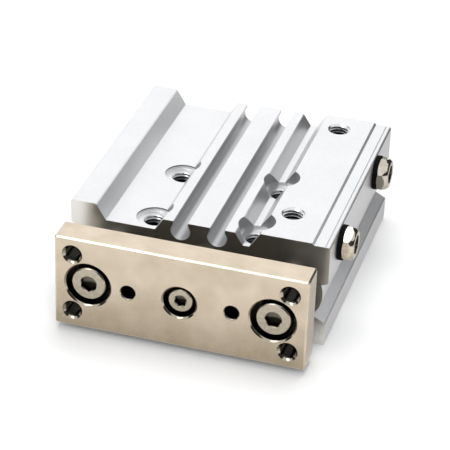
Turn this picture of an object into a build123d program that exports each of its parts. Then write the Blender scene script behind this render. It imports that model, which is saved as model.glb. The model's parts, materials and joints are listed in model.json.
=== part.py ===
from build123d import *
from math import cos, hypot, pi, radians, tan
import os

# Compact guided cylinder, lying on its mounting face, with the front plate drawn in.
# The plate faces -Y and the air ports face +Z. The origin is the centre of the four body bolts,
# on the mounting face. All sizes are in millimetres.

# Cylinder and guides
bore = 12.0
stroke = 30.0
piston_rod_diameter = 6.0
guide_rod_diameter = 8.0

# Body section
body_width = 58.0
axis_height = 12.5
wall_corner_radius = 0.6
base_flange_thickness = 5.5
base_flange_slope = 28.0
port_flange_thickness = 9.4
port_flange_slope = 21.0
side_wall = 2.5
side_arc_inset = 1.0

# Channels and grooves in the top of the body: depths go down from its highest face, and the lobe
# on the left and the strip on the right have their widths from the side walls
channel_depth = 3.65
ridge_drop = 0.8
ridge_width = 16.0
ridge_slope_run = 1.85
lobe_width = 5.7
lobe_slope_run = 2.3
narrow_channel_width = 1.42
port_block_slope_run = 2.4
strip_drop = 0.45
strip_width = 3.55
strip_slope_run = 0.5
sensor_groove_offset = 4.13
sensor_groove_radius = 2.15
sensor_groove_depth = 2.2
sensor_floor_wall = 1.35
sensor_mouth_width = 3.26
scribe_width = 0.3
scribe_depth = 0.2
strip_scribe_inset = 1.1
lobe_edge_radius = 0.8

# Body bolts and dowels
bolt_spacing_x = 23.0
bolt_spacing_y = 20.0
bolt_setback = 5.0
bolt_hole_diameter = 4.3
bolt_counterbore_diameter = 8.0
bolt_counterbore_depth = 4.5
base_thread_chamfer = 0.5
base_thread_depth = 10.0
base_dowel_spacing = 23.0
base_dowel_diameter = 3.0
base_dowel_depth = 3.5
rear_thread_diameter = 3.3
rear_thread_depth = 10.0
rear_thread_chamfer = 0.4
rear_side_inset = 4.0
rear_edge_inset = 3.5

# Air ports and passages
port_diameter = 4.2
port_chamfer = 0.5
port_inset = 11.0
port_depth = 6.0
front_port_lag = 1.0
rear_port_lag = 0.5
side_port_rise = 1.6
side_port_depth = 5.0
front_side_port_lag = 0.2
rear_side_port_lead = 8.5
drilling_diameter = 2.0
passage_diameter = 1.6
passage_margin = 0.3
ball_diameter = 2.5
ball_seat_depth = 3.0

# Cylinder covers and their rings
cover_seat_diameter = 13.5
ring_groove_diameter = 14.2
ring_groove_width = 1.1
ring_thickness = 1.0
ring_setback = 1.2
ring_section = 0.9
ring_lug_radius = 1.1
ring_hole_diameter = 1.0
ring_gap_width = 3.0
ring_gap_angle = 90.0
ring_lug_angle = 22.0
rod_cover_length = 7.2
head_cover_length = 4.2
gasket_groove_diameter = 11.2
gasket_section = 1.5
gasket_chamfer = 0.3
gasket_groove_margin = 0.1
gasket_seat_inset = 1.5
rod_seal_diameter = 9.2
rod_seal_length = 2.0
rod_seal_lip = 1.0
cover_chamfer = 0.3
bumper_outer_diameter = 9.6
bumper_thickness = 1.4
bumper_stand = 0.6
front_bumper_bore = 6.8
rear_bumper_bore = 3.0

# Piston
piston_length = 9.6
piston_nose_diameter = 9.2
piston_nose_length = 1.0
piston_land = 0.8
piston_seal_groove_width = 2.2
piston_seal_groove_diameter = 8.4
piston_seal_lip_depth = 0.5
magnet_width = 2.0
magnet_groove_diameter = 8.8
magnet_diameter = 11.4
rod_spigot_diameter = 4.0
crimp_diameter = 5.6
crimp_thickness = 0.7
crimp_recess_margin = 0.2

# Guide rods and their bearings
guide_rod_setback = 1.0
rod_end_chamfer = 0.5
bush_outer_diameter = 10.0
bush_length = 8.0
guide_seat_depth = 25.0
guide_relief_diameter = 9.0
felt_holder_setback = 0.4
felt_holder_thickness = 1.0
felt_holder_bore = 8.8
felt_thickness = 1.6

# Front plate
plate_side_inset = 1.0
plate_edge_inset = 1.5
plate_thickness = 6.5
plate_gap = 6.5
plate_edge_chamfer = 0.4
plate_thread_diameter = 3.3
plate_thread_chamfer = 0.65
plate_thread_inset = 4.0
plate_dowel_diameter = 3.0
plate_dowel_spacing = 23.0
plate_dowel_depth = 3.5
plate_dowel_chamfer = 0.4
counterbore_chamfer = 0.4

# Bolts that hold the rods to the plate
guide_bolt_diameter = 4.0
guide_bolt_head_diameter = 7.8
guide_bolt_head_height = 3.4
guide_bolt_recess = 0.5
guide_bolt_counterbore = 10.0
guide_bolt_hexagon = 3.4
guide_bolt_engagement = 9.0
rod_bolt_diameter = 3.0
rod_bolt_head_diameter = 5.7
rod_bolt_head_height = 3.6
rod_bolt_recess = 0.8
rod_bolt_counterbore = 7.3
rod_bolt_hexagon = 2.5
rod_bolt_engagement = 7.0
hexagon_depth = 1.6
head_edge_chamfer = 0.3
left_bolt_turn = 90.0
right_bolt_turn = 0.0
rod_bolt_turn = 20.0
bolt_clearance = 0.15
tip_room = 1.0

# Side port plugs
plug_hexagon = 7.0
plug_head_height = 2.5
plug_shank_length = 4.0
plug_edge_drop = 1.2
plug_face_diameter = 6.0
plug_seat_drop = 0.3
plug_socket_hexagon = 4.0
plug_socket_depth = 1.6
plug_gasket_diameter = 7.8
plug_gasket_bore = 4.6
plug_gasket_thickness = 1.0
front_plug_turn = 27.0
rear_plug_turn = 39.0

# Shapes that are the same wherever they are used
hexagon_count = 6
thread_mouth_angle = 90.0

# Clearances
static_clearance = 0.02
running_clearance = 0.03
seal_clearance = 0.04
piston_clearance = 0.1
thread_clearance = 0.03
end_gap = 0.1

# Places along the body, worked out from the front to the rear
body_front = -(bolt_setback + bolt_spacing_y / 2)
front_ring_start = body_front + ring_setback
rod_cover_front = front_ring_start + ring_groove_width
front_shoulder = rod_cover_front + rod_cover_length
piston_front = front_shoulder + bumper_stand + end_gap + stroke
piston_rear = piston_front + piston_length
rear_shoulder = piston_rear + end_gap + bumper_stand
head_cover_rear = rear_shoulder + head_cover_length
body_rear = head_cover_rear + ring_groove_width + ring_setback
body_length = body_rear - body_front
plate_back = body_front - plate_gap
plate_front = plate_back - plate_thickness
guide_rod_rear = body_rear - guide_rod_setback

# Places across the body: a sensor groove's floor stands a wall above the bore, and the top follows it
sensor_groove_height = axis_height + bore / 2 + sensor_floor_wall + sensor_groove_radius
body_height = sensor_groove_height + sensor_groove_depth + ridge_drop
body_half = body_width / 2
ridge_top = body_height - ridge_drop
ridge_edge = ridge_width / 2
lobe_edge = body_half - lobe_width
ridge_foot = ridge_edge + ridge_slope_run
port_block_foot = ridge_foot + narrow_channel_width
port_block_edge = port_block_foot + port_block_slope_run
strip_foot = body_half - strip_width
strip_top = body_height - strip_drop
channel_floor = body_height - channel_depth
side_arc_radius = bush_outer_diameter / 2 + side_wall
guide_x = body_half - side_arc_inset - side_arc_radius
waist_x = guide_x + side_arc_radius / 2
guide_sides = {"left": -guide_x, "right": guide_x}
plate_width = body_width - 2 * plate_side_inset
plate_height = body_height - 2 * plate_edge_inset

# Places of the ports
port_offset = body_half - port_inset
front_port_y = front_shoulder + front_port_lag
rear_port_y = rear_shoulder + rear_port_lag
front_side_port_y = front_shoulder + front_side_port_lag
rear_side_port_y = rear_shoulder - rear_side_port_lead
port_floor = body_height - port_depth
side_port_height = port_floor + side_port_rise
passage_offset = passage_diameter / 2 + passage_margin


def section(y, z=0.0):
    """Plane across the body that faces the plate: its own x is +X and its own y is +Z."""
    return Plane(origin=(0, y, z), x_dir=(1, 0, 0), z_dir=(0, -1, 0))


def lathe(x=0.0):
    """Plane of a turned profile: its own x is +Y and its own y is the radius from the axis at x."""
    return Plane(origin=(x, 0, axis_height), x_dir=(0, 1, 0), z_dir=(1, 0, 0))


def turning_axis(x=0.0):
    """Axis along the body through a bore at x."""
    return Axis((x, 0, axis_height), (0, 1, 0))


def side_face(y, stand=0.0):
    """Plane on the right wall at a side port, facing outwards: its own x is +Y."""
    return Plane(origin=(body_half + stand, y, side_port_height), x_dir=(0, 1, 0), z_dir=(1, 0, 0))


def band(start, end, inner, outer, mode=Mode.ADD):
    """Rectangle of a turned profile between two places along the axis and two radii."""
    with Locations(((start + end) / 2, (inner + outer) / 2)):
        Rectangle(end - start, outer - inner, mode=mode)


def ring(start, end, inner_diameter, outer_diameter, x=0.0):
    """Turned ring with a rectangular section."""
    with BuildPart() as piece:
        with BuildSketch(lathe(x)):
            band(start, end, inner_diameter / 2, outer_diameter / 2)
        revolve(axis=turning_axis(x))
    return piece


def tapped_hole(diameter, mouth_chamfer, depth):
    """Blind hole at thread root size with a chamfered mouth, drilled at the current locations."""
    CounterSinkHole(diameter / 2, diameter / 2 + mouth_chamfer, depth, thread_mouth_angle)


# Body: extruded section
with BuildPart() as body:
    with BuildSketch(section(body_front)) as outline:
        with Locations((0, body_height / 2)):
            Rectangle(body_width, body_height)
        base_rise = (body_half - waist_x) * tan(radians(base_flange_slope))
        port_rise = (body_half - waist_x) * tan(radians(port_flange_slope))
        base_waist = base_flange_thickness + base_rise
        port_waist = body_height - port_flange_thickness - port_rise
        Polygon(
            (body_half, base_flange_thickness),
            (waist_x, base_waist),
            (waist_x, port_waist),
            (body_half, body_height - port_flange_thickness),
            align=None,
            mode=Mode.SUBTRACT,
        )
        Polygon(
            (-body_half, base_flange_thickness),
            (-waist_x, base_waist),
            (-waist_x, body_height - base_waist),
            (-body_half, body_height - base_flange_thickness),
            align=None,
            mode=Mode.SUBTRACT,
        )
        with Locations((-guide_x, axis_height), (guide_x, axis_height)):
            Circle(side_arc_radius)
        Polygon(
            (-lobe_edge, body_height),
            (lobe_slope_run - lobe_edge, channel_floor),
            (-ridge_foot, channel_floor),
            (-ridge_edge, ridge_top),
            (ridge_edge, ridge_top),
            (ridge_foot, channel_floor),
            (port_block_foot, channel_floor),
            (port_block_edge, body_height),
            align=None,
            mode=Mode.SUBTRACT,
        )
        Polygon(
            (strip_foot - strip_slope_run, body_height),
            (strip_foot, strip_top),
            (body_half, strip_top),
            (body_half, body_height),
            align=None,
            mode=Mode.SUBTRACT,
        )
        wall_ends = outline.vertices().group_by(Axis.X)
        fillet(wall_ends[0] + wall_ends[-1], wall_corner_radius)
        lobe_corner = outline.vertices().sort_by_distance((-lobe_edge, body_height))[0]
        fillet(lobe_corner, lobe_edge_radius)
        for x in (-sensor_groove_offset, sensor_groove_offset):
            with Locations((x, sensor_groove_height)):
                Circle(sensor_groove_radius, mode=Mode.SUBTRACT)
                Rectangle(
                    sensor_mouth_width,
                    sensor_groove_depth,
                    align=(Align.CENTER, Align.MIN),
                    mode=Mode.SUBTRACT,
                )
        scribe_x = body_half - strip_scribe_inset
        Polygon(
            (scribe_x - scribe_width / 2, strip_top),
            (scribe_x, strip_top - scribe_depth),
            (scribe_x + scribe_width / 2, strip_top),
            align=None,
            mode=Mode.SUBTRACT,
        )
    extrude(amount=-body_length)

    # Cylinder bore with the seats and ring grooves of the two covers
    with BuildSketch(lathe()):
        band(body_front, body_rear, 0, bore / 2)
        band(body_front, front_shoulder, 0, cover_seat_diameter / 2)
        band(rear_shoulder, body_rear, 0, cover_seat_diameter / 2)
        band(front_ring_start, front_ring_start + ring_groove_width, 0, ring_groove_diameter / 2)
        band(head_cover_rear, head_cover_rear + ring_groove_width, 0, ring_groove_diameter / 2)
    revolve(axis=turning_axis(), mode=Mode.SUBTRACT)

    # Guide bores: bush seats at the front, wider than the relief behind them
    for x in guide_sides.values():
        with BuildSketch(lathe(x)):
            band(body_front, body_rear, 0, guide_relief_diameter / 2)
            band(body_front, body_front + guide_seat_depth, 0, bush_outer_diameter / 2)
        revolve(axis=turning_axis(x), mode=Mode.SUBTRACT)

    # Bolt holes through the body, with dowel holes between them in the mounting face
    with Locations(Plane.XY.offset(body_height)):
        with GridLocations(bolt_spacing_x, bolt_spacing_y, 2, 2):
            CounterBoreHole(bolt_hole_diameter / 2, bolt_counterbore_diameter / 2, bolt_counterbore_depth)
    with Locations(Plane(origin=(0, 0, 0), x_dir=(1, 0, 0), z_dir=(0, 0, -1))):
        with GridLocations(bolt_spacing_x, bolt_spacing_y, 2, 2):
            tapped_hole(bolt_hole_diameter, base_thread_chamfer, base_thread_depth)
        with GridLocations(base_dowel_spacing, 0, 2, 1):
            Hole(base_dowel_diameter / 2, base_dowel_depth)

    # Tapped holes in the rear face
    rear_spacing_x = body_width - 2 * rear_side_inset
    rear_spacing_z = body_height - 2 * rear_edge_inset
    with Locations(Plane(origin=(0, body_rear, body_height / 2), x_dir=(-1, 0, 0), z_dir=(0, 1, 0))):
        with GridLocations(rear_spacing_x, rear_spacing_z, 2, 2):
            tapped_hole(rear_thread_diameter, rear_thread_chamfer, rear_thread_depth)

    # Air ports on top
    with Locations(Plane.XY.offset(body_height)):
        with Locations((port_offset, front_port_y), (port_offset, rear_port_y)):
            tapped_hole(port_diameter, port_chamfer, port_depth)

    # Side ports and the drillings that join them to the top ports
    for y in (front_side_port_y, rear_side_port_y):
        with BuildSketch(side_face(y)):
            Circle(port_diameter / 2)
        extrude(amount=-side_port_depth, mode=Mode.SUBTRACT)
        with BuildSketch(side_face(y)):
            Circle(drilling_diameter / 2)
        extrude(amount=port_offset - body_half, mode=Mode.SUBTRACT)
    with BuildSketch(section(body_rear)):
        with Locations((port_offset, side_port_height)):
            Circle(drilling_diameter / 2)
    extrude(amount=body_rear - rear_side_port_y, mode=Mode.SUBTRACT)
    with BuildSketch(section(body_rear)):
        with Locations((port_offset, side_port_height)):
            Circle(ball_diameter / 2)
    extrude(amount=ball_seat_depth, mode=Mode.SUBTRACT)

    # Passages from the ends of the bore out to the ports
    passage_run = hypot(port_offset, side_port_height - axis_height)
    for y in (front_shoulder + passage_offset, rear_shoulder - passage_offset):
        passage_plane = Plane(
            origin=(0, y, axis_height),
            x_dir=(0, 1, 0),
            z_dir=(port_offset, 0, side_port_height - axis_height),
        )
        with BuildSketch(passage_plane):
            Circle(passage_diameter / 2)
        extrude(amount=passage_run, mode=Mode.SUBTRACT)

# Front plate with its tapped corner holes, blind dowel holes and three counterbored holes
with BuildPart() as front_plate:
    with BuildSketch(section(plate_front, body_height / 2)):
        Rectangle(plate_width, plate_height)
    extrude(amount=-plate_thickness)
    chamfer(front_plate.edges(), plate_edge_chamfer)
    plate_thread_spacing_x = plate_width - 2 * plate_thread_inset
    plate_thread_spacing_z = plate_height - 2 * plate_thread_inset
    with Locations(section(plate_front, body_height / 2)):
        with GridLocations(plate_thread_spacing_x, plate_thread_spacing_z, 2, 2):
            tapped_hole(plate_thread_diameter, plate_thread_chamfer, None)
    with Locations(section(plate_front, axis_height)):
        with GridLocations(plate_dowel_spacing, 0, 2, 1):
            tapped_hole(plate_dowel_diameter, plate_dowel_chamfer, plate_dowel_depth)
        with GridLocations(2 * guide_x, 0, 2, 1):
            CounterBoreHole(
                guide_bolt_diameter / 2 + bolt_clearance,
                guide_bolt_counterbore / 2,
                guide_bolt_recess + guide_bolt_head_height,
            )
        CounterBoreHole(
            rod_bolt_diameter / 2 + bolt_clearance,
            rod_bolt_counterbore / 2,
            rod_bolt_recess + rod_bolt_head_height,
        )
    counterbore_mouths = (
        front_plate.faces()
        .sort_by(Axis.Y)[0]
        .edges()
        .filter_by(GeomType.CIRCLE)
        .filter_by(lambda edge: edge.radius in (guide_bolt_counterbore / 2, rod_bolt_counterbore / 2))
    )
    chamfer(counterbore_mouths, counterbore_chamfer)


def socket_screw(x, diameter, head_diameter, head_height, recess, hexagon, engagement, turn):
    """Socket screw seated in the plate, with its shank running back into a rod."""
    head_front = plate_front + recess
    head_back = head_front + head_height
    with BuildPart() as screw:
        with BuildSketch(lathe(x)):
            band(head_front, head_back, 0, head_diameter / 2)
            band(head_front, plate_back + engagement, 0, diameter / 2 - thread_clearance)
        revolve(axis=turning_axis(x))
        chamfer(screw.faces().sort_by(Axis.Y)[0].edges(), head_edge_chamfer)
        with BuildSketch(Plane(origin=(x, head_front, axis_height), x_dir=(1, 0, 0), z_dir=(0, -1, 0))):
            RegularPolygon(hexagon / 2, hexagon_count, major_radius=False, rotation=turn)
        extrude(amount=-hexagon_depth, mode=Mode.SUBTRACT)
    return screw


rod_bolt = socket_screw(
    0,
    rod_bolt_diameter,
    rod_bolt_head_diameter,
    rod_bolt_head_height,
    rod_bolt_recess,
    rod_bolt_hexagon,
    rod_bolt_engagement,
    rod_bolt_turn,
)

# Piston rod: tapped at the plate, stepped and crimped at the piston
with BuildPart() as piston_rod:
    with BuildSketch(lathe()):
        band(plate_back, piston_front, 0, piston_rod_diameter / 2)
        band(piston_front, piston_rear - crimp_thickness, 0, rod_spigot_diameter / 2)
        band(piston_rear - crimp_thickness, piston_rear, 0, crimp_diameter / 2)
        band(plate_back, plate_back + rod_bolt_engagement + tip_room, 0, rod_bolt_diameter / 2, Mode.SUBTRACT)
    revolve(axis=turning_axis())

# Piston with reduced noses, a seal groove and a magnet groove
seal_start = piston_front + piston_nose_length + piston_land
seal_end = seal_start + piston_seal_groove_width
magnet_start = seal_end + piston_land
magnet_end = magnet_start + magnet_width
with BuildPart() as piston:
    with BuildSketch(lathe()):
        spigot_bore = rod_spigot_diameter / 2 + static_clearance
        band(piston_front, piston_rear, spigot_bore, piston_nose_diameter / 2)
        band(
            piston_front + piston_nose_length,
            piston_rear - piston_nose_length,
            spigot_bore,
            bore / 2 - piston_clearance,
        )
        band(seal_start, seal_end, piston_seal_groove_diameter / 2, bore / 2, Mode.SUBTRACT)
        band(magnet_start, magnet_end, magnet_groove_diameter / 2, bore / 2, Mode.SUBTRACT)
        band(
            piston_rear - crimp_thickness - static_clearance,
            piston_rear,
            spigot_bore,
            crimp_diameter / 2 + crimp_recess_margin,
            Mode.SUBTRACT,
        )
    revolve(axis=turning_axis())

# Piston seal: a ring with a shallow groove between its two lips
with BuildPart() as piston_seal:
    with BuildSketch(lathe()):
        seal_outer = bore / 2 - seal_clearance
        band(
            seal_start + static_clearance,
            seal_end - static_clearance,
            piston_seal_groove_diameter / 2 + static_clearance,
            seal_outer,
        )
        Polygon(
            (seal_start + piston_seal_lip_depth, seal_outer),
            ((seal_start + seal_end) / 2, seal_outer - piston_seal_lip_depth),
            (seal_end - piston_seal_lip_depth, seal_outer),
            align=None,
            mode=Mode.SUBTRACT,
        )
    revolve(axis=turning_axis())

piston_magnet = ring(
    magnet_start + static_clearance,
    magnet_end - static_clearance,
    magnet_groove_diameter + 2 * static_clearance,
    magnet_diameter,
)

# Rod cover: bearing for the piston rod, with grooves for its seal and gasket and a seat for the bumper
cover_diameter = cover_seat_diameter - 2 * static_clearance
gasket_start = front_shoulder - gasket_seat_inset - gasket_section - 2 * gasket_groove_margin
bumper_recess = bumper_thickness - bumper_stand
with BuildPart() as rod_cover:
    with BuildSketch(lathe()):
        rod_bore = piston_rod_diameter / 2 + running_clearance
        band(rod_cover_front, front_shoulder, rod_bore, cover_diameter / 2)
        band(
            rod_cover_front + rod_seal_lip,
            rod_cover_front + rod_seal_lip + rod_seal_length,
            rod_bore,
            rod_seal_diameter / 2,
            Mode.SUBTRACT,
        )
        band(
            gasket_start,
            gasket_start + gasket_section + 2 * gasket_groove_margin,
            gasket_groove_diameter / 2,
            cover_seat_diameter / 2,
            Mode.SUBTRACT,
        )
        band(
            front_shoulder - bumper_recess,
            front_shoulder,
            rod_bore,
            bumper_outer_diameter / 2,
            Mode.SUBTRACT,
        )
    revolve(axis=turning_axis())
    chamfer(rod_cover.edges().filter_by(GeomType.CIRCLE).group_by(Axis.Y)[0], cover_chamfer)

rod_seal = ring(
    rod_cover_front + rod_seal_lip + static_clearance,
    rod_cover_front + rod_seal_lip + rod_seal_length - static_clearance,
    piston_rod_diameter + 2 * seal_clearance,
    rod_seal_diameter - 2 * static_clearance,
)
front_bumper = ring(
    front_shoulder - bumper_recess,
    front_shoulder + bumper_stand,
    front_bumper_bore,
    bumper_outer_diameter - 2 * static_clearance,
)

# Head cover: plug of the rear end, with a gasket groove and a seat for the bumper
head_gasket_start = rear_shoulder + gasket_seat_inset
with BuildPart() as head_cover:
    with BuildSketch(lathe()):
        band(rear_shoulder, head_cover_rear, 0, cover_diameter / 2)
        band(
            head_gasket_start,
            head_gasket_start + gasket_section + 2 * gasket_groove_margin,
            gasket_groove_diameter / 2,
            cover_seat_diameter / 2,
            Mode.SUBTRACT,
        )
        band(rear_shoulder, rear_shoulder + bumper_recess, 0, bumper_outer_diameter / 2, Mode.SUBTRACT)
    revolve(axis=turning_axis())
    chamfer(head_cover.edges().filter_by(GeomType.CIRCLE).group_by(Axis.Y)[-1], cover_chamfer)

rear_bumper = ring(
    rear_shoulder - bumper_stand,
    rear_shoulder + bumper_recess,
    rear_bumper_bore,
    bumper_outer_diameter - 2 * static_clearance,
)


def cover_gasket(groove_start):
    """Sealing ring with broken corners that fills a cover's groove out to its seat."""
    gasket = ring(
        groove_start + gasket_groove_margin,
        groove_start + gasket_groove_margin + gasket_section,
        gasket_groove_diameter + 2 * static_clearance,
        cover_seat_diameter - 2 * static_clearance,
    )
    with gasket:
        chamfer(gasket.edges(), gasket_chamfer)
    return gasket


rod_cover_gasket = cover_gasket(gasket_start)
head_cover_gasket = cover_gasket(head_gasket_start)


def retaining_ring(start):
    """Internal retaining ring: an open ring with two drilled lugs beside its gap."""
    outer_radius = ring_groove_diameter / 2 - static_clearance
    lug_offset = outer_radius - ring_lug_radius
    with BuildPart() as clip:
        with BuildSketch(section(start, axis_height)):
            Circle(outer_radius)
            Circle(outer_radius - ring_section, mode=Mode.SUBTRACT)
            first_lug_angle = ring_gap_angle - ring_lug_angle
            with PolarLocations(lug_offset, 2, first_lug_angle, 2 * ring_lug_angle, endpoint=True):
                Circle(ring_lug_radius)
                Circle(ring_hole_diameter / 2, mode=Mode.SUBTRACT)
            with Locations((0, outer_radius)):
                Rectangle(ring_gap_width, outer_radius, mode=Mode.SUBTRACT)
        extrude(amount=-ring_thickness)
    return clip


ring_play = (ring_groove_width - ring_thickness) / 2
rod_cover_ring = retaining_ring(front_ring_start + ring_play)
head_cover_ring = retaining_ring(head_cover_rear + ring_play)

# Ball that closes the rear drilling
with BuildPart() as passage_ball:
    with Locations((port_offset, body_rear - ball_seat_depth + ball_diameter / 2, side_port_height)):
        Sphere(ball_diameter / 2 - static_clearance)


def guide_rod(x):
    """Guide rod, tapped at the plate and chamfered at the rear."""
    with BuildPart() as rod:
        with BuildSketch(lathe(x)):
            band(plate_back, guide_rod_rear, 0, guide_rod_diameter / 2)
            band(
                plate_back,
                plate_back + guide_bolt_engagement + tip_room,
                0,
                guide_bolt_diameter / 2,
                Mode.SUBTRACT,
            )
        revolve(axis=turning_axis(x))
        chamfer(rod.faces().sort_by(Axis.Y)[-1].edges(), rod_end_chamfer)
    return rod


def guide_bush(x, start):
    """Slide bearing pressed into a guide bore."""
    bush = ring(
        start,
        start + bush_length,
        guide_rod_diameter + 2 * running_clearance,
        bush_outer_diameter - 2 * static_clearance,
        x,
    )
    return bush


def port_plug(y, turn):
    """Hexagon head plug with a hexagon socket, and its shank in a side port."""
    corner_radius = plug_hexagon / 2 / cos(pi / hexagon_count)
    head_start = plug_gasket_thickness
    head_end = head_start + plug_head_height
    port_axis = Axis((body_half, y, side_port_height), (1, 0, 0))
    turned_plane = Plane(origin=(body_half, y, side_port_height), x_dir=(1, 0, 0), z_dir=(0, -1, 0))
    with BuildPart() as plug:
        with BuildSketch(turned_plane):
            Polygon(
                (head_start, 0),
                (head_end, 0),
                (head_end, plug_face_diameter / 2),
                (head_end - plug_edge_drop, corner_radius),
                (head_start + plug_seat_drop, corner_radius),
                (head_start, plug_hexagon / 2),
                align=None,
            )
            band(-plug_shank_length, head_start, 0, port_diameter / 2 - thread_clearance)
        revolve(axis=port_axis)
        with BuildSketch(side_face(y, head_start)):
            Circle(plug_hexagon)
            RegularPolygon(
                plug_hexagon / 2,
                hexagon_count,
                major_radius=False,
                rotation=turn,
                mode=Mode.SUBTRACT,
            )
        extrude(amount=plug_head_height, mode=Mode.SUBTRACT)
        with BuildSketch(side_face(y, head_end)):
            RegularPolygon(plug_socket_hexagon / 2, hexagon_count, major_radius=False, rotation=turn)
        extrude(amount=-plug_socket_depth, mode=Mode.SUBTRACT)
    return plug


def plug_gasket(y):
    """Flat sealing ring between a plug head and the side of the body."""
    with BuildPart() as gasket:
        with BuildSketch(side_face(y)):
            Circle(plug_gasket_diameter / 2)
            Circle(plug_gasket_bore / 2, mode=Mode.SUBTRACT)
        extrude(amount=plug_gasket_thickness)
    return gasket


pieces = {
    "body": body,
    "front_plate": front_plate,
    "rod_bolt": rod_bolt,
    "piston_rod": piston_rod,
    "piston": piston,
    "piston_seal": piston_seal,
    "piston_magnet": piston_magnet,
    "rod_cover": rod_cover,
    "rod_seal": rod_seal,
    "rod_cover_gasket": rod_cover_gasket,
    "rod_cover_ring": rod_cover_ring,
    "front_bumper": front_bumper,
    "rear_bumper": rear_bumper,
    "head_cover": head_cover,
    "head_cover_gasket": head_cover_gasket,
    "head_cover_ring": head_cover_ring,
    "passage_ball": passage_ball,
    "front_port_plug": port_plug(front_side_port_y, front_plug_turn),
    "rear_port_plug": port_plug(rear_side_port_y, rear_plug_turn),
    "front_plug_gasket": plug_gasket(front_side_port_y),
    "rear_plug_gasket": plug_gasket(rear_side_port_y),
}

# Pieces of each guide: holder, felt and first bush follow each other in from the mouth of its bore
felt_holder_start = body_front + felt_holder_setback
felt_start = felt_holder_start + felt_holder_thickness
front_bush_start = felt_start + felt_thickness
rear_bush_start = body_front + guide_seat_depth - bush_length
bore_fit_diameter = bush_outer_diameter - 2 * static_clearance
guide_bolt_turns = {"left": left_bolt_turn, "right": right_bolt_turn}
for side, x in guide_sides.items():
    pieces[side + "_guide_rod"] = guide_rod(x)
    pieces[side + "_front_bush"] = guide_bush(x, front_bush_start)
    pieces[side + "_rear_bush"] = guide_bush(x, rear_bush_start)
    pieces[side + "_felt_holder"] = ring(
        felt_holder_start,
        felt_start,
        felt_holder_bore,
        bore_fit_diameter,
        x,
    )
    pieces[side + "_felt"] = ring(
        felt_start,
        front_bush_start,
        guide_rod_diameter + 2 * seal_clearance,
        bore_fit_diameter,
        x,
    )
    pieces[side + "_guide_bolt"] = socket_screw(
        x,
        guide_bolt_diameter,
        guide_bolt_head_diameter,
        guide_bolt_head_height,
        guide_bolt_recess,
        guide_bolt_hexagon,
        guide_bolt_engagement,
        guide_bolt_turns[side],
    )

os.makedirs("parts", exist_ok=True)
for name, piece in pieces.items():
    piece.part.label = name
    export_step(piece.part, f"parts/{name}.step")
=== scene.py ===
import json
import math

import bmesh
import bpy
from mathutils import Matrix, Vector

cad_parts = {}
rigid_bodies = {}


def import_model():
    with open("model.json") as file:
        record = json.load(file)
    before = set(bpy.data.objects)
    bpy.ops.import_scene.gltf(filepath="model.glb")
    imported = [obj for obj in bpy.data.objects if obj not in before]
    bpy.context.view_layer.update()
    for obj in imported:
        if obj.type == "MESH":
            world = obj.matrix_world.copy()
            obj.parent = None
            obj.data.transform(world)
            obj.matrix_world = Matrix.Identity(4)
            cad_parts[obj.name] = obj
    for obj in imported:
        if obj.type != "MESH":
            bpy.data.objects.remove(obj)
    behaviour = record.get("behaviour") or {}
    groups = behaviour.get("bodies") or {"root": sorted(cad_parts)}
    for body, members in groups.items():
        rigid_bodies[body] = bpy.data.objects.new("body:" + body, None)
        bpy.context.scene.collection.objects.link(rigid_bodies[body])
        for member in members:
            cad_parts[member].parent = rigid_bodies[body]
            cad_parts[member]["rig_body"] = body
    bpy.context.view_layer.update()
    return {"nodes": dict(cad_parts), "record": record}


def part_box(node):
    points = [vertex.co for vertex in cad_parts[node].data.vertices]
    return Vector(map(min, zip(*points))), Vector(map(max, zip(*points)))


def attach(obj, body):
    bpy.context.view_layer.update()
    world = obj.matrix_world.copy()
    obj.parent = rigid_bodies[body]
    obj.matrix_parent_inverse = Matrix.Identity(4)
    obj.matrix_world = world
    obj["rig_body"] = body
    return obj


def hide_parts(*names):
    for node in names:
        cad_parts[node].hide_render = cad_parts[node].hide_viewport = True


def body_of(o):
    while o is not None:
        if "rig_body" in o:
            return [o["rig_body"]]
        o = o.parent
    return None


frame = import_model()
MM = 0.001

X, Y, Z = range(3)
ORIGIN = (0, 0, 0)

# Places and sizes of the frame, all in metres
mounts = {mount["name"]: mount for mount in frame["record"]["mounts"]}
body_low, body_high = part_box("body")
plate_low, plate_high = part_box("front_plate")
plate_middle = (plate_low + plate_high) / 2
rod_low, rod_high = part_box("right_guide_rod")
guide_x = (rod_low.x + rod_high.x) / 2
axis_z = (rod_low.z + rod_high.z) / 2
front_port = Vector(mounts["front_port"]["pos_m"])
rear_port = Vector(mounts["rear_port"]["pos_m"])
ports_middle = (front_port + rear_port) / 2
port_pitch = (rear_port.y - front_port.y) / 2
counterbore_depth = 4.5 * MM
channel_depth = 3.65 * MM
bolt_floor = body_high.z - counterbore_depth
channel_floor = body_high.z - channel_depth
narrow_channel = (8.1 * MM, 9.8 * MM)
narrow_heights = (20 * MM, body_high.z - 1.1 * MM)

# How far from a hole's axis its finish reaches, a little past its wall
groove_reach = 2.3 * MM
counterbore_reach = 4.06 * MM
bolt_reach = 2.5 * MM
port_reach = 2.8 * MM
plate_thread_reach = 2.4 * MM


def spacing(mount):
    """Half the spacings of a bolt pattern, along its two directions."""
    dims = mounts[mount]["dims"]
    return dims.get("spacing_x_mm", 0) * MM / 2, dims.get("spacing_y_mm", 0) * MM / 2


bolt_x, bolt_y = spacing("body_bolts")
thread_x, thread_z = spacing("plate_threads")
dowel_x, _ = spacing("plate_dowels")
rear_x, rear_z = spacing("rear_threads")


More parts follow.
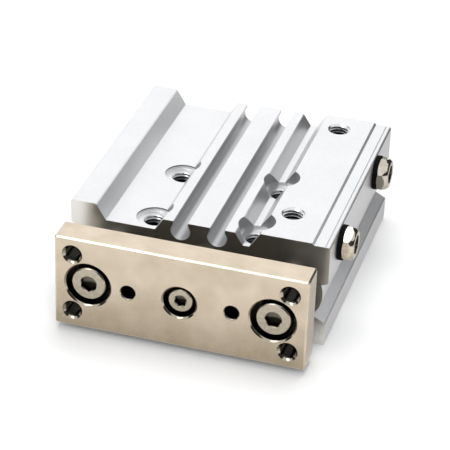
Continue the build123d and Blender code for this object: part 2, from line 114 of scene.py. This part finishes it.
# Materials: every one is worked out from noise in the part's own coordinates
class Finish:
    """A material with short calls for the nodes that all the finishes share."""

    def __init__(self, name, **sockets):
        self.material = bpy.data.materials.new(name)
        self.material.use_nodes = True
        self.tree = self.material.node_tree
        self.shader = self.tree.nodes["Principled BSDF"]
        for socket, value in sockets.items():
            self.shader.inputs[socket.replace("_", " ")].default_value = value
        self.place = self.add("ShaderNodeTexCoord").outputs["Object"]

    def add(self, kind, **settings):
        node = self.tree.nodes.new(kind)
        for setting, value in settings.items():
            setattr(node, setting, value)
        return node

    def feed(self, node, socket, value):
        """Sets an input socket to a value, or joins it to another node's output."""
        if isinstance(value, bpy.types.NodeSocket):
            self.tree.links.new(value, node.inputs[socket])
        else:
            node.inputs[socket].default_value = value

    def noise(self, grain, detail=2.0, stretch=(1, 1, 1)):
        """Noise with features of about one grain, in millimetres, drawn out by stretch."""
        mapping = self.add("ShaderNodeMapping")
        self.feed(mapping, "Vector", self.place)
        self.feed(mapping, "Scale", [1 / (grain * MM * factor) for factor in stretch])
        texture = self.add("ShaderNodeTexNoise")
        self.feed(texture, "Vector", mapping.outputs["Vector"])
        self.feed(texture, "Scale", 1.0)
        self.feed(texture, "Detail", detail)
        return texture.outputs["Fac"]

    def spread(self, fac, low, high, start=0.3, end=0.7):
        """Maps a noise's middle range to a range of numbers."""
        node = self.add("ShaderNodeMapRange")
        self.feed(node, "Value", fac)
        self.feed(node, "From Min", start)
        self.feed(node, "From Max", end)
        self.feed(node, "To Min", low)
        self.feed(node, "To Max", high)
        return node.outputs["Result"]

    def shade(self, fac, dark, light):
        """Mixes two colours by a number from 0 to 1."""
        node = self.add("ShaderNodeMix", data_type="RGBA")
        self.feed(node, "Factor", fac)
        colours = [socket for socket in node.inputs if socket.type == "RGBA"]
        for socket, colour in zip(colours, (dark, light)):
            if isinstance(colour, bpy.types.NodeSocket):
                self.tree.links.new(colour, socket)
            else:
                socket.default_value = (*colour, 1.0)
        return next(socket for socket in node.outputs if socket.type == "RGBA")

    def bump(self, height, distance, normal=None):
        """Bump of a height in millimetres, over another bump if one is given."""
        node = self.add("ShaderNodeBump")
        self.feed(node, "Height", height)
        self.feed(node, "Distance", distance * MM)
        if normal:
            self.feed(node, "Normal", normal)
        return node.outputs["Normal"]

    def vector(self, operation, *values):
        node = self.add("ShaderNodeVectorMath", operation=operation)
        for index, value in enumerate(values):
            self.feed(node, index, value)
        return node.outputs["Value" if operation == "LENGTH" else "Vector"]

    def maths(self, operation, *values):
        node = self.add("ShaderNodeMath", operation=operation)
        for index, value in enumerate(values):
            self.feed(node, index, value)
        return node.outputs["Value"]

    def bores(self, axis, middle, offset, radius, mouth, fade):
        """1 inside the bores that stand at plus and minus an offset from a middle, along an axis.
        It grows from 0 at the mouth to 1 at the mouth plus fade, which is negative where the
        bore runs down."""
        flat = [0.0 if index == axis else 1.0 for index in range(3)]
        folded = self.vector("ABSOLUTE", self.vector("SUBTRACT", self.place, middle))
        across = self.vector("MULTIPLY", self.vector("SUBTRACT", folded, offset), flat)
        inside = self.maths("LESS_THAN", self.vector("LENGTH", across), radius)
        return self.maths("MULTIPLY", inside, self.beyond(axis, mouth, fade))

    def beyond(self, axis, start, fade):
        """0 up to a place along an axis, growing to 1 at that place plus fade."""
        split = self.add("ShaderNodeSeparateXYZ")
        self.feed(split, "Vector", self.place)
        return self.spread(split.outputs[axis], 0, 1, start, start + fade)

    def span(self, axis, start, end, fade=0.1 * MM):
        """1 between two places along an axis, fading to 0 just past them."""
        return self.maths("SUBTRACT", self.beyond(axis, start, fade), self.beyond(axis, end, fade))

    def both(self, first, second):
        """1 where two masks are 1."""
        return self.maths("MULTIPLY", first, second)

    def greatest(self, values):
        result = values[0]
        for value in values[1:]:
            result = self.maths("MAXIMUM", result, value)
        return result

    def set(self, **sockets):
        for socket, value in sockets.items():
            self.feed(self.shader, socket.replace("_", " "), value)
        return self.material


def anodised_aluminium():
    """Extruded, blasted and clear anodised: a fine grain over faint lines along the extrusion.
    The drilled holes are painted darker as they go down, a painted shade."""
    finish = Finish("anodised_aluminium", Metallic=1.0)
    grain = finish.noise(0.12, detail=3.0)
    lines = finish.noise(0.25, detail=2.0, stretch=(1, 60, 1))
    cloud = finish.noise(9.0, detail=3.0)
    speckle = finish.noise(0.3, detail=1.0)
    tone = finish.maths("ADD", finish.spread(cloud, 0, 0.35), finish.spread(speckle, 0, 0.65))
    metal = finish.shade(tone, (0.745, 0.75, 0.76), (0.845, 0.845, 0.85))
    cut_end = finish.beyond(Y, body_low.y + 0.06 * MM, -0.04 * MM)

    def bolt_holes(reach, mouth, fade):
        return finish.bores(Z, ORIGIN, (bolt_x, bolt_y, 0), reach, mouth, fade)

    def port_holes(depth, fade):
        mouth = body_high.z - depth
        return finish.bores(Z, ports_middle, (0, port_pitch, 0), port_reach, mouth, fade)

    # The sensor grooves and the narrow channel beside them, up to the body's ends, painted darker
    # as painted shade
    groove = Vector(mounts["right_sensor_groove"]["pos_m"])
    before = body_low.y - 1 * MM
    grooves = finish.bores(Y, (0, 0, groove.z), (groove.x, 0, 0), groove_reach, before, 0.1 * MM)
    narrow = finish.both(finish.span(X, *narrow_channel), finish.span(Z, *narrow_heights))
    ends = finish.span(Y, body_low.y + 0.1 * MM, body_high.y - 0.1 * MM, 0.05 * MM)
    painted_groove_shade = finish.both(finish.maths("MAXIMUM", grooves, narrow), ends)
    metal = finish.shade(painted_groove_shade, metal, (0.58, 0.58, 0.585))

    # The counterbores: painted shade where they cut the slopes; in the left channel their walls are
    # painted lighter, a painted reflection of the counterbore floor, under a painted shadow line at
    # the rim
    counterbore_shade = bolt_holes(counterbore_reach, channel_floor, 0.1 * MM)
    metal = finish.shade(counterbore_shade, metal, (0.49, 0.49, 0.495))
    left_half = finish.span(X, -20 * MM, 0)
    sunk = finish.both(bolt_holes(counterbore_reach, channel_floor, -0.05 * MM), left_half)
    painted_light_walls = finish.both(sunk, finish.beyond(Z, bolt_floor + 0.05 * MM, 0.02 * MM))
    metal = finish.shade(painted_light_walls, metal, (0.95, 0.95, 0.955))
    painted_rim_shadow = finish.span(Z, channel_floor - 0.35 * MM, channel_floor, 0.05 * MM)
    metal = finish.shade(finish.both(sunk, painted_rim_shadow), metal, (0.16, 0.16, 0.16))
    metal = finish.shade(cut_end, metal, (0.8, 0.78, 0.745))

    # painted shade: the bolt holes and ports are painted dark below their mouths
    hole_shade = finish.maths(
        "MAXIMUM",
        bolt_holes(bolt_reach, bolt_floor - 0.5 * MM, -0.8 * MM),
        port_holes(1.8 * MM, -1.6 * MM),
    )
    threads = finish.maths(
        "MAXIMUM",
        bolt_holes(bolt_reach, bolt_floor - 0.02 * MM, -0.02 * MM),
        port_holes(0.02 * MM, -0.02 * MM),
    )
    smoother = finish.maths(
        "MAXIMUM",
        finish.maths("MULTIPLY", threads, 0.2),
        finish.maths("MULTIPLY", cut_end, 0.14),
    )
    return finish.set(
        Base_Color=finish.shade(hole_shade, metal, (0.06, 0.06, 0.062)),
        Roughness=finish.maths("SUBTRACT", finish.spread(grain, 0.38, 0.46), smoother),
        Normal=finish.bump(grain, 0.004, normal=finish.bump(lines, 0.003)),
    )


def satin_nickel():
    """Nickel plate over ground steel: warm, with faint clouds and a fine even tooth.
    The holes, threads and counterbores are painted dark inside, as painted shade."""
    finish = Finish("satin_nickel", Metallic=1.0)
    cloud = finish.noise(5.0, detail=5.0)
    tooth = finish.noise(0.09, detail=3.0)
    plated = finish.shade(finish.spread(cloud, 0, 1), (0.58, 0.49, 0.375), (0.695, 0.595, 0.475))
    # painted shade: the back of the plate, facing the narrow gap to the body, is painted darker
    back_shade = finish.beyond(Y, plate_high.y - 0.06 * MM, 0.04 * MM)
    metal = finish.shade(back_shade, plated, (0.46, 0.415, 0.34))

    def plate_holes(x, z, reach, depth, fade):
        return finish.bores(Y, plate_middle, (x, 0, z), reach, plate_low.y + depth, fade)

    # painted shade: the counterbores, the middle hole and the dowel holes are painted dark inside
    hole_shade = finish.greatest(
        [
            plate_holes(guide_x, 0, 5.2 * MM, 0.4 * MM, 0.1 * MM),
            plate_holes(0, 0, 3.8 * MM, 0.4 * MM, 0.1 * MM),
            plate_holes(dowel_x, 0, 1.7 * MM, 0.5 * MM, 0.3 * MM),
        ]
    )
    # painted shade: the chamfered rims of the holes are painted darker, and made smoother
    shaded_rims = finish.greatest(
        [
            plate_holes(x, z, reach, 0.02 * MM, 0.02 * MM)
            for x, z, reach in (
                (guide_x, 0, 5.5 * MM),
                (0, 0, 4.2 * MM),
                (dowel_x, 0, 2.0 * MM),
                (thread_x, thread_z, plate_thread_reach),
            )
        ]
    )
    metal = finish.shade(shaded_rims, metal, (0.45, 0.4, 0.325))
    # painted shade: the tapped holes are painted dark inside past their first half millimetre
    threads = plate_holes(thread_x, thread_z, plate_thread_reach, 0.5 * MM, 0.35 * MM)
    metal = finish.shade(threads, metal, (0.03, 0.027, 0.022))
    smoother = finish.maths("MULTIPLY", shaded_rims, 0.14)
    return finish.set(
        Base_Color=finish.shade(hole_shade, metal, (0.03, 0.027, 0.022)),
        Roughness=finish.maths("SUBTRACT", finish.spread(tooth, 0.24, 0.3), smoother),
        Normal=finish.bump(tooth, 0.003),
    )


def bright_nickel(name, dark, light, roughness, sockets=()):
    """Nickel plated screw or plug, with the soft unevenness of a tumbled part.
    Sockets are the places, reaches and mouths of the hexagons along Y, which are painted dark
    inside as painted shade, with a painted glint on the upper side of the floor."""
    finish = Finish(name, Metallic=1.0)
    cloud = finish.noise(1.2, detail=4.0)
    dents = finish.noise(0.5, detail=2.0)
    metal = finish.shade(finish.spread(cloud, 0, 1), dark, light)
    rough = finish.spread(cloud, roughness, roughness + 0.08)
    for x, reach, mouth in sockets:
        socket = ((0, 0, axis_z), (x, 0, 0), reach)
        inside = finish.bores(Y, *socket, mouth + 0.1 * MM, 0.5 * MM)
        drill_point = finish.bores(Y, *socket, mouth + 1.5 * MM, 0.1 * MM)
        # painted shade inside the socket, and a painted glint on the upper side of its floor
        metal = finish.shade(inside, metal, (0.03, 0.024, 0.017))
        painted_glint = finish.beyond(Z, axis_z - 0.7 * MM, 0.5 * MM)
        painted_socket_floor = finish.shade(painted_glint, (0.04, 0.034, 0.025), (0.36, 0.325, 0.27))
        metal = finish.shade(drill_point, metal, painted_socket_floor)
        rough = finish.maths("MAXIMUM", rough, finish.maths("MULTIPLY", drill_point, 0.65))
    return finish.set(
        Base_Color=metal,
        Roughness=rough,
        Normal=finish.bump(dents, 0.008),
    )


def turned_metal(name, dark, light, roughness):
    """Turned or ground metal with fine rings round its axis, which lies along the body."""
    finish = Finish(name, Metallic=1.0)
    rings = finish.noise(0.08, detail=2.0, stretch=(40, 1, 40))
    cloud = finish.noise(3.0, detail=3.0)
    return finish.set(
        Base_Color=finish.shade(finish.spread(cloud, 0, 1), dark, light),
        Roughness=finish.spread(rings, roughness, roughness + 0.1),
        Normal=finish.bump(rings, 0.002),
    )


def moulded(name, dark, light, roughness, grain=0.2, depth=0.01):
    """Rubber, plastic or felt with a fine grain."""
    finish = Finish(name, Specular_IOR_Level=0.05)
    surface = finish.noise(grain, detail=4.0)
    return finish.set(
        Base_Color=finish.shade(finish.spread(surface, 0, 1), dark, light),
        Roughness=finish.spread(surface, roughness, roughness + 0.1),
        Normal=finish.bump(surface, depth),
    )


finishes = {
    "body_aluminium": anodised_aluminium(),
    "plate_nickel": satin_nickel(),
    "bolt_nickel": bright_nickel(
        "bolt_nickel",
        (0.45, 0.395, 0.31),
        (0.53, 0.475, 0.385),
        0.2,
        sockets=[
            (guide_x, 2.1 * MM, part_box("right_guide_bolt")[0].y),
            (0, 1.6 * MM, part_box("rod_bolt")[0].y),
        ],
    ),
    "plug_nickel": bright_nickel("plug_nickel", (0.54, 0.49, 0.4), (0.7, 0.645, 0.55), 0.07),
    "rod_steel": turned_metal("chromed_rod", (0.62, 0.62, 0.63), (0.7, 0.7, 0.71), 0.12),
    "cover_aluminium": turned_metal("turned_aluminium", (0.6, 0.6, 0.61), (0.7, 0.7, 0.71), 0.3),
    "ring_steel": turned_metal("spring_steel", (0.12, 0.115, 0.11), (0.2, 0.19, 0.18), 0.35),
    "bush_bronze": turned_metal("sintered_bronze", (0.3, 0.19, 0.09), (0.42, 0.28, 0.14), 0.45),
    "seal_rubber": moulded("black_rubber", (0.003, 0.003, 0.003), (0.006, 0.006, 0.006), 0.7),
    "bumper_urethane": moulded("urethane", (0.28, 0.2, 0.09), (0.34, 0.26, 0.13), 0.35),
    "felt": moulded("oiled_felt", (0.42, 0.38, 0.3), (0.6, 0.56, 0.47), 0.85, 0.3, 0.05),
    "magnet_plastic": moulded("bonded_magnet", (0.03, 0.03, 0.035), (0.06, 0.06, 0.065), 0.5),
}
slots = {part["node"]: part["material_slot"] for part in frame["record"]["subparts"]}


def paint(piece, slot):
    """Gives a piece the finish of a material slot."""
    piece.data.materials.clear()
    piece.data.materials.append(finishes[slot])


# Dressed pieces: built here, in the place of the plain solids
def new_piece(name, mesh, body, slot):
    """Makes an object of a finished mesh, riding on a body."""
    mesh.name = name
    piece = bpy.data.objects.new(name, mesh)
    bpy.context.scene.collection.objects.link(piece)
    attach(piece, body)
    paint(piece, slot)
    return piece


def clean_solid(node):
    """A welded copy of a node's mesh, with its flat faces joined up."""
    bm = bmesh.new()
    bm.from_mesh(frame["nodes"][node].data)
    bmesh.ops.remove_doubles(bm, verts=bm.verts, dist=0.001 * MM)
    bmesh.ops.dissolve_limit(bm, angle_limit=math.radians(0.6), verts=bm.verts, edges=bm.edges)
    return bm


def to_mesh(bm):
    mesh = bpy.data.meshes.new("piece")
    bm.to_mesh(mesh)
    bm.free()
    return mesh


def smooth(piece, sharp_angle=50.0):
    """Smooth shading that keeps flat faces flat and sharp edges sharp."""
    bm = bmesh.new()
    bm.from_mesh(piece.data)
    for face in bm.faces:
        face.smooth = True
    for edge in bm.edges:
        edge.smooth = edge.is_manifold and edge.calc_face_angle() < math.radians(sharp_angle)
    bm.to_mesh(piece.data)
    bm.free()
    normals = piece.modifiers.new("normals", "WEIGHTED_NORMAL")
    normals.keep_sharp = True
    normals.weight = 100


def break_edges(bm, width, least_angle=25.0, least_length=0.0, segments=2):
    """Rounds the sharp edges of a solid by a small width."""
    edges = [
        edge
        for edge in bm.edges
        if edge.is_manifold
        and edge.calc_face_angle() > math.radians(least_angle)
        and edge.calc_length() > least_length
    ]
    bmesh.ops.bevel(
        bm,
        geom=edges,
        offset=width,
        segments=segments,
        profile=0.5,
        affect="EDGES",
        clamp_overlap=False,
    )


class Thread:
    """A tapped hole: its mouth, the way out of it, and its sizes in metres."""

    columns = 40
    flats = ((0.0, 0), (0.25, 0), (0.5625, 1), (0.6875, 1))

    def __init__(self, name, mouth, out, crest, root, pitch, depth, mouth_radius, through=False):
        self.name = name
        self.crest, self.root, self.pitch = crest, root, pitch
        self.depth, self.mouth_radius, self.through = depth, mouth_radius, through
        inwards = -Vector(out)
        side = inwards.orthogonal().normalized()
        turn = Matrix((side, inwards.cross(side), inwards)).transposed().to_4x4()
        self.place = Matrix.Translation(mouth) @ turn

    def radius_at(self, wanted, depth):
        """A wanted radius, opened out by the chamfers at the ends of the hole."""
        ends = [self.mouth_radius - depth]
        if self.through:
            ends.append(self.mouth_radius - (self.depth - depth))
        return max([wanted, *ends])

    def corner(self, bm, radius, angle, depth):
        """A new corner at a radius, an angle and a depth in the hole."""
        return bm.verts.new((radius * math.cos(angle), radius * math.sin(angle), depth))

    def sleeve(self, wall=0.02 * MM):
        """The threaded wall of the hole as a closed sleeve. Its rows follow the helix."""
        bm = bmesh.new()
        turns = math.ceil(self.depth / self.pitch) + 2
        radii = (self.crest, self.root)
        rows = [
            (turn + share, radii[kind]) for turn in range(-1, turns) for share, kind in self.flats
        ]
        angles = [2 * math.pi * column / self.columns for column in range(self.columns + 1)]
        grid = []
        for start, wanted in rows:
            row = []
            for column, angle in enumerate(angles):
                depth = min(max((start + column / self.columns) * self.pitch, 0.0), self.depth)
                at_end = depth >= self.depth and not self.through
                radius = self.radius_at(self.crest if at_end else wanted, depth)
                radius = min(radius, self.mouth_radius - wall)
                row.append(self.corner(bm, radius, angle, depth))
            grid.append(row)
        outside = self.mouth_radius - wall / 2
        for depth in (self.depth, 0.0):
            grid.append([self.corner(bm, outside, angle, depth) for angle in angles])
        for near, far in zip(grid, [*grid[1:], grid[0]]):
            for column in range(self.columns):
                bm.faces.new((near[column], near[column + 1], far[column + 1], far[column]))
        bmesh.ops.remove_doubles(bm, verts=bm.verts, dist=0.0005 * MM)
        bmesh.ops.dissolve_degenerate(bm, edges=bm.edges, dist=0.0005 * MM)
        bmesh.ops.recalc_face_normals(bm, faces=bm.faces)
        bm.transform(self.place)
        return bm

    def drill(self, bm, sides=64, run_out=0.5 * MM):
        """Adds to bm the cylinder that makes room for the sleeve."""
        far_end = self.depth + (run_out if self.through else 0.0)
        middle = Matrix.Translation((0, 0, (far_end - run_out) / 2))
        bmesh.ops.create_cone(
            bm,
            cap_ends=True,
            segments=sides,
            radius1=self.mouth_radius,
            radius2=self.mouth_radius,
            depth=far_end + run_out,
            matrix=self.place @ middle,
        )


class Socket:
    """The lead-in cone and the drill point of a hexagon socket that runs along +Y, in metres."""

    def __init__(self, x, mouth, across_flats, depth):
        self.x, self.mouth, self.flat, self.depth = x, mouth, across_flats / 2, depth

    def cone(self, bm, start, end, start_radius, end_radius):
        """Adds to bm a cone between two places along Y."""
        upright = Matrix.Rotation(math.radians(-90), 4, "X")
        bmesh.ops.create_cone(
            bm,
            cap_ends=True,
            segments=48,
            radius1=start_radius,
            radius2=end_radius,
            depth=end - start,
            matrix=Matrix.Translation((self.x, (start + end) / 2, axis_z)) @ upright,
        )

    def drill(self, bm, lead=0.15 * MM, point=0.5 * MM, overlap=0.05 * MM):
        corner = 0.98 * self.flat / math.cos(math.pi / 6)
        self.cone(bm, self.mouth - lead, self.mouth + lead, corner + lead, corner - lead)
        floor = self.mouth + self.depth
        self.cone(bm, floor - overlap, floor + point, 0.92 * self.flat, 0.02 * MM)


def drilled(bm, cuts):
    """The solid less the room for its threads and sockets."""
    solid = bpy.data.objects.new("solid", to_mesh(bm))
    drills = bmesh.new()
    for item in cuts:
        item.drill(drills)
    tool = bpy.data.objects.new("tool", to_mesh(drills))
    for item in (solid, tool):
        bpy.context.scene.collection.objects.link(item)
    cut = solid.modifiers.new("cut", "BOOLEAN")
    cut.operation = "DIFFERENCE"
    cut.solver = "EXACT"
    cut.object = tool
    bpy.context.view_layer.update()
    evaluated = solid.evaluated_get(bpy.context.evaluated_depsgraph_get())
    mesh = bpy.data.meshes.new_from_object(evaluated)
    for item in (solid, tool):
        bpy.data.objects.remove(item)
    result = bmesh.new()
    result.from_mesh(mesh)
    return result


def dress(name, node, width, threads=(), sockets=(), **choices):
    """Replaces a node by the same solid, its sharp edges broken and its threads and sockets cut."""
    bm = clean_solid(node)
    if threads or sockets:
        bm = drilled(bm, [*threads, *sockets])
    break_edges(bm, width, **choices)
    body = body_of(frame["nodes"][node])[0]
    piece = new_piece(name, to_mesh(bm), body, slots[node])
    smooth(piece)
    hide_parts(node)
    for thread in threads:
        sleeve = new_piece(thread.name, to_mesh(thread.sleeve()), body, slots[node])
        smooth(sleeve, thread_sharp_angle)


# Threads, edge widths and hexagons of the dressed pieces
thread_sharp_angle = 20.0
m5 = {"crest": 2.1 * MM, "root": 2.5 * MM, "pitch": 0.8 * MM}
m4 = {"crest": 1.65 * MM, "root": 2.0 * MM, "pitch": 0.7 * MM}
port_threads = [
    Thread(
        f"{end}_port_thread",
        (mounts[f"{end}_port"]["pos_m"][0], mounts[f"{end}_port"]["pos_m"][1], body_high.z),
        (0, 0, 1),
        depth=5.4 * MM,
        mouth_radius=2.6 * MM,
        **m5,
    )
    for end in ("front", "rear")
]
signs = [(x, y) for x in (-1, 1) for y in (-1, 1)]
base_threads = [
    Thread(
        f"base_thread_{index}",
        (x * bolt_x, y * bolt_y, body_low.z),
        (0, 0, -1),
        depth=10.0 * MM,
        mouth_radius=2.65 * MM,
        **(m5 | {"crest": 2.15 * MM}),
    )
    for index, (x, y) in enumerate(signs, 1)
]
rear_threads = [
    Thread(
        f"rear_thread_{index}",
        (x * rear_x, body_high.y, plate_middle.z + z * rear_z),
        (0, 1, 0),
        depth=9.5 * MM,
        mouth_radius=2.05 * MM,
        **m4,
    )
    for index, (x, z) in enumerate(signs, 1)
]
plate_threads = [
    Thread(
        f"plate_thread_{index}",
        (x * thread_x, plate_low.y, plate_middle.z + z * thread_z),
        (0, -1, 0),
        depth=plate_high.y - plate_low.y,
        mouth_radius=2.3 * MM,
        through=True,
        **m4,
    )
    for index, (x, z) in enumerate(signs, 1)
]
bolt_threads = [
    Thread(
        f"bolt_thread_{index}",
        (x * bolt_x, y * bolt_y, bolt_floor),
        (0, 0, 1),
        depth=2.0 * MM,
        mouth_radius=2.45 * MM,
        crest=2.16 * MM,
        root=2.4 * MM,
        pitch=0.8 * MM,
    )
    for index, (x, y) in enumerate(signs, 1)
]
housing_threads = [*port_threads, *base_threads, *rear_threads, *bolt_threads]
block_edge = 0.05 * MM
shortest_edge = 0.3 * MM
guide_head_edge = 0.04 * MM
rod_head_edge = 0.08 * MM
plug_edge = 0.06 * MM
guide_hexagon = 3.4 * MM
rod_hexagon = 2.5 * MM
hexagon_depth = 1.6 * MM
dress("housing_block", "body", block_edge, housing_threads, least_length=shortest_edge)
dress("drawn_plate", "front_plate", block_edge, plate_threads, least_length=shortest_edge)
for side, x in (("left", -guide_x), ("right", guide_x)):
    socket = Socket(x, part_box(f"{side}_guide_bolt")[0].y, guide_hexagon, hexagon_depth)
    dress(f"{side}_cap_screw", f"{side}_guide_bolt", guide_head_edge, sockets=[socket])
socket = Socket(0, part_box("rod_bolt")[0].y, rod_hexagon, hexagon_depth)
dress("rod_cap_screw", "rod_bolt", rod_head_edge, sockets=[socket])
for end in ("front", "rear"):
    dress(f"{end}_hexagon_plug", f"{end}_port_plug", plug_edge)

# The nodes that stay as they are get their finish
for name, node in frame["nodes"].items():
    paint(node, slots[name])


def seen_strength(tree, unseen, seen):
    """One strength for the light that falls on things, and one for what camera and mirrors see."""
    path = tree.nodes.new("ShaderNodeLightPath")
    flag = path.outputs["Is Camera Ray"]
    for ray in ("Is Glossy Ray", "Is Transmission Ray"):
        either = tree.nodes.new("ShaderNodeMath")
        either.operation = "MAXIMUM"
        tree.links.new(flag, either.inputs[0])
        tree.links.new(path.outputs[ray], either.inputs[1])
        flag = either.outputs[0]
    level = tree.nodes.new("ShaderNodeMath")
    level.operation = "MULTIPLY_ADD"
    tree.links.new(flag, level.inputs[0])
    level.inputs[1].default_value = seen - unseen
    level.inputs[2].default_value = unseen
    return level.outputs[0]


# Floor: plain and pale, a hair under the part
floor_half = 2.0
floor_drop = 0.02 * MM
floor_glow = 0.04
floor_mesh = bpy.data.meshes.new("floor")
floor_corners = [(-1, -1), (1, -1), (1, 1), (-1, 1)]
floor_height = body_low.z - floor_drop
floor_corners = [(x * floor_half, y * floor_half, floor_height) for x, y in floor_corners]
floor_mesh.from_pydata(floor_corners, [], [(0, 1, 2, 3)])
floor = bpy.data.objects.new("floor", floor_mesh)
bpy.context.scene.collection.objects.link(floor)
floor_finish = Finish("floor_white", Base_Color=(0.93, 0.93, 0.93, 1), Roughness=0.9)
floor_finish.shader.inputs["Emission Color"].default_value = (1, 1, 1, 1)
floor_finish.set(Emission_Strength=seen_strength(floor_finish.tree, 0.0, floor_glow))
floor_mesh.materials.append(floor_finish.material)

# Soft studio light: a white surround, and softboxes behind, in front and overhead
surround_white = (0.98, 0.99, 1.0, 1)
surround_light = 0.5
surround_seen = 1.0
world = bpy.data.worlds.new("studio")
bpy.context.scene.world = world
world.use_nodes = True
background = world.node_tree.nodes["Background"]
background.inputs["Color"].default_value = surround_white
surround_strength = seen_strength(world.node_tree, surround_light, surround_seen)
world.node_tree.links.new(surround_strength, background.inputs["Strength"])


def softbox(name, place, width, height, brightness):
    """Area lamp aimed at the middle of the part, as bright to look at as it says: 1 is white."""
    lamp = bpy.data.lights.new(name, "AREA")
    lamp.shape = "RECTANGLE"
    lamp.size = width
    lamp.size_y = height
    lamp.energy = brightness * math.pi * width * height
    holder = bpy.data.objects.new(name, lamp)
    holder.location = place
    aim = Vector(place) - (body_low + body_high) / 2
    holder.rotation_euler = aim.to_track_quat("Z", "Y").to_euler()
    bpy.context.scene.collection.objects.link(holder)
    return holder


card_black = Finish("card_black", Base_Color=(0.03, 0.03, 0.03, 1), Roughness=0.9).material


def mirrored_sheet(name, corners, material):
    """A flat sheet that only reflections see."""
    mesh = bpy.data.meshes.new(name)
    mesh.from_pydata(corners, [], [(0, 1, 2, 3)])
    mesh.materials.append(material)
    sheet = bpy.data.objects.new(name, mesh)
    sheet.visible_camera = False
    sheet.visible_diffuse = False
    sheet.visible_shadow = False
    bpy.context.scene.collection.objects.link(sheet)


def card(name, bearing, distance, width, high, low=-0.02):
    """Upright dark card at a bearing from +X, in degrees, that only the metal mirrors."""
    turn = Matrix.Rotation(math.radians(bearing), 4, "Z")
    side = width / 2
    corners = [(-side, low), (side, low), (side, high), (-side, high)]
    mirrored_sheet(name, [turn @ Vector((distance, y, z)) for y, z in corners], card_black)


softbox("back_softbox", (-0.29, 1.0, 0.61), 1.4, 0.7, 0.3)
front_softbox = softbox("front_softbox", (-0.22, -0.36, 0.55), 0.32, 0.17, 3.4)
front_softbox.visible_diffuse = False
softbox("plug_softbox", (-0.14, 0.06, 0.99), 0.12, 0.12, 4.0)
for lamp in (
    softbox("top_fill", (0.0, 0.18, 0.95), 0.55, 0.55, 4.0),
    softbox("front_fill", (0.18, -0.58, 0.6), 0.5, 0.5, 3.8),
):
    lamp.visible_glossy = False
card("card_back_right", 42, 0.12, 0.14, 0.069)
card("card_right", 0, 0.6, 0.7, 0.22)
card("card_front_right", -45, 0.6, 0.5, 0.6)
card("card_front", -90, 0.6, 0.6, 0.15)
card("card_front_left", -135, 0.6, 0.6, 0.25)
card("card_left", 180, 0.6, 0.7, 0.3)

# The floor's shade round the part, as the metal mirrors it: floor_seen is the floor's own level
floor_seen = 1.15
sheet_rise = 0.01 * MM
foot_gap = 0.3 * MM


def floor_shade(name, axis, start, end, near, low, high, rise=0.0, soft=8 * MM):
    """A glowing sheet just over the floor, seen only in reflections, with the floor's shadow
    painted on it: from a near colour at its start to white at its end along an axis.
    It spans low to high across that axis, with soft sides. Where the part moves away from its
    start, it also comes in softly there, over the rise. It sends no light to the floor."""
    finish = Finish(name, Base_Color=(0, 0, 0, 1), Roughness=0.9, Specular_IOR_Level=0.0)
    begun = finish.beyond(axis, start - rise, rise) if rise else 1.0
    shade = finish.maths("SUBTRACT", begun, finish.beyond(axis, start, end - start))
    shade = finish.both(shade, finish.span(1 - axis, low, high - soft, soft))
    path = finish.add("ShaderNodeLightPath")
    straight = finish.maths("LESS_THAN", path.outputs["Diffuse Depth"], 0.5)
    strength = finish.maths("MULTIPLY", straight, floor_seen)
    finish.set(Emission_Color=finish.shade(shade, (1, 1, 1), near), Emission_Strength=strength)
    corners = [(start - rise, low), (end, low), (end, high), (start - rise, high)]
    if axis == Y:
        corners = [(y, x) for x, y in corners]
    height = floor_height + sheet_rise
    mirrored_sheet(name, [(x, y, height) for x, y in corners], finish.material)


plate_foot = plate_low.y - foot_gap
floor_shade(
    "floor_shade_front",
    Y,
    plate_foot,
    plate_foot - 25 * MM,
    near=(0.41, 0.39, 0.345),
    low=-46 * MM,
    high=37 * MM,
    rise=-4 * MM,
)
body_foot = body_high.x + foot_gap
floor_shade(
    "floor_shade_right",
    X,
    body_foot,
    body_foot + 50 * MM,
    near=(0.5, 0.495, 0.495),
    low=-30 * MM,
    high=110 * MM,
)

# Camera, solved from the photograph
camera_data = bpy.data.cameras.new("camera")
camera_data.lens = 169.8356
camera_data.sensor_width = 36.0
camera_data.clip_start = 0.01
camera = bpy.data.objects.new("camera", camera_data)
camera.location = (0.109789, -0.387108, 0.257977)
camera.rotation_euler = [math.radians(angle) for angle in (58.9543, -1.8912, 16.7558)]
bpy.context.scene.collection.objects.link(camera)
bpy.context.scene.camera = camera

bpy.context.scene.view_settings.view_transform = "Standard"

bpy.context.view_layer.update()
